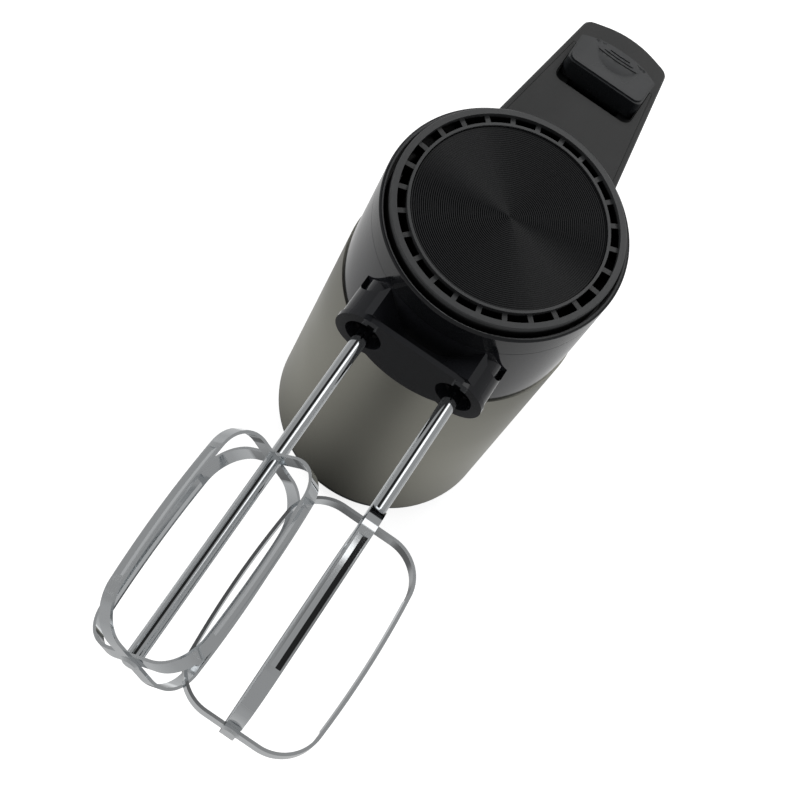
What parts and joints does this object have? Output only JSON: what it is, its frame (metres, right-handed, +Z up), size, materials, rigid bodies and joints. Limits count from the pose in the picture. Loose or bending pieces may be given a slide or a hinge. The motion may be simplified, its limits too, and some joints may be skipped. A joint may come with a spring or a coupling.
{
  "type": "hand mixer",
  "caption": "Corded hand mixer with a round body, a looped handle, wire-strap beaters, a worm drive and an eject slide; it stands on its heel.",
  "frame": {"origin": "on the body axis, in the plane of the heel pad that the mixer stands on", "axes": "+Z up the body axis from heel to nose, +Y from the beaters to the handle, +X to the right seen from the nose with the handle up"},
  "size_m": [0.0984, 0.333, 0.201],
  "materials": {
    "black_gloss": "gloss",
    "black_satin": "satin",
    "grey_satin": "satin",
    "disc_black": "finely turned",
    "shell_metal": "satin",
    "heel_rubber": "matte",
    "steel": "machined",
    "chromed_steel": "polished",
    "bronze": "sintered",
    "copper": "enamelled",
    "laminations": "laminated",
    "die_cast": "as cast",
    "gear_plastic": "moulded",
    "carbon": "matte",
    "board_green": "satin",
    "switch_blue": "satin"
  },
  "bodies": {
    "housing": {"front_housing": "black_gloss", "front_bezel": "black_gloss", "nose_grille": "grey_satin", "nose_disc": "disc_black", "body_shell": "shell_metal", "rear_cover": "black_satin", "heel_pad": "heel_rubber", "rear_screws": "steel", "handle_shell": "black_satin", "front_panel": "grey_satin", "control_panel": "grey_satin", "cord_inlet": "heel_rubber", "eject_spring": "steel", "speed_switch": "switch_blue", "turbo_spring": "steel", "switch_board": "board_green", "gear_frame": "die_cast", "gear_frame_screws": "steel", "motor_frame": "black_satin", "rear_bracket": "black_satin", "field_stack": "laminations", "field_coils": "copper", "brush_holders": "bronze", "carbon_brushes": "carbon", "shaft_bushes": "bronze", "spindle_bushes": "bronze"},
    "armature": {"motor_shaft": "steel", "motor_worm": "steel", "rotor_core": "laminations", "commutator": "copper", "cooling_fan": "black_satin"},
    "spindle_left": {"worm_wheel_left": "gear_plastic", "spindle_left": "steel"},
    "spindle_right": {"worm_wheel_right": "gear_plastic", "spindle_right": "steel"},
    "eject_slide": {"eject_button": "grey_satin", "eject_rod": "steel"},
    "ejector_left": {"ejector_pin_left": "steel"},
    "ejector_right": {"ejector_pin_right": "steel"},
    "beater_left": {"beater_shaft_left": "chromed_steel", "outer_loop_left": "chromed_steel", "inner_loop_left": "chromed_steel"},
    "beater_right": {"beater_shaft_right": "chromed_steel", "outer_loop_right": "chromed_steel", "inner_loop_right": "chromed_steel"},
    "speed_slide": {"speed_slider": "grey_satin"},
    "turbo": {"turbo_button": "grey_satin"}
  },
  "joints": [
    {"name": "motor_spin", "type": "hinge", "parent": "housing", "child": "armature", "pos_m": [0, 0, 0.09], "axis": [0, 0, 1], "continuous": true},
    {"name": "spindle_left_spin", "type": "hinge", "parent": "housing", "child": "spindle_left", "pos_m": [-0.02, 0, 0.1705], "axis": [0, 1, 0], "continuous": true},
    {"name": "spindle_right_spin", "type": "hinge", "parent": "housing", "child": "spindle_right", "pos_m": [0.02, 0, 0.1705], "axis": [0, 1, 0], "continuous": true},
    {"name": "eject_press", "type": "slide", "parent": "housing", "child": "eject_slide", "axis": [0, -1, 0], "range_m": [0, 0.006], "stiffness_N_per_m": 400, "springref_m": -0.008, "deforming": ["eject_spring"]},
    {"name": "ejector_left_push", "type": "slide", "parent": "spindle_left", "child": "ejector_left", "axis": [0, -1, 0], "range_m": [0, 0.006]},
    {"name": "ejector_right_push", "type": "slide", "parent": "spindle_right", "child": "ejector_right", "axis": [0, -1, 0], "range_m": [0, 0.006]},
    {"name": "beater_left_pull", "type": "slide", "parent": "ejector_left", "child": "beater_left", "axis": [0, -1, 0], "range_m": [0, 0.045]},
    {"name": "beater_right_pull", "type": "slide", "parent": "ejector_right", "child": "beater_right", "axis": [0, -1, 0], "range_m": [0, 0.045]},
    {"name": "speed_set", "type": "slide", "parent": "housing", "child": "speed_slide", "axis": [0, 0, 1], "range_m": [0, 0.024]},
    {"name": "turbo_press", "type": "slide", "parent": "housing", "child": "turbo", "axis": [0, -1, 0], "range_m": [0, 0.0025], "stiffness_N_per_m": 300, "springref_m": -0.003, "deforming": ["turbo_spring"]}
  ],
  "couplings": [
    {"joint": "spindle_right_spin", "follows": "motor_spin", "ratio": -0.064516},
    {"joint": "spindle_left_spin", "follows": "motor_spin", "ratio": 0.064516},
    {"joint": "ejector_left_push", "follows": "eject_press", "ratio": 1},
    {"joint": "ejector_right_push", "follows": "eject_press", "ratio": 1}
  ]
}
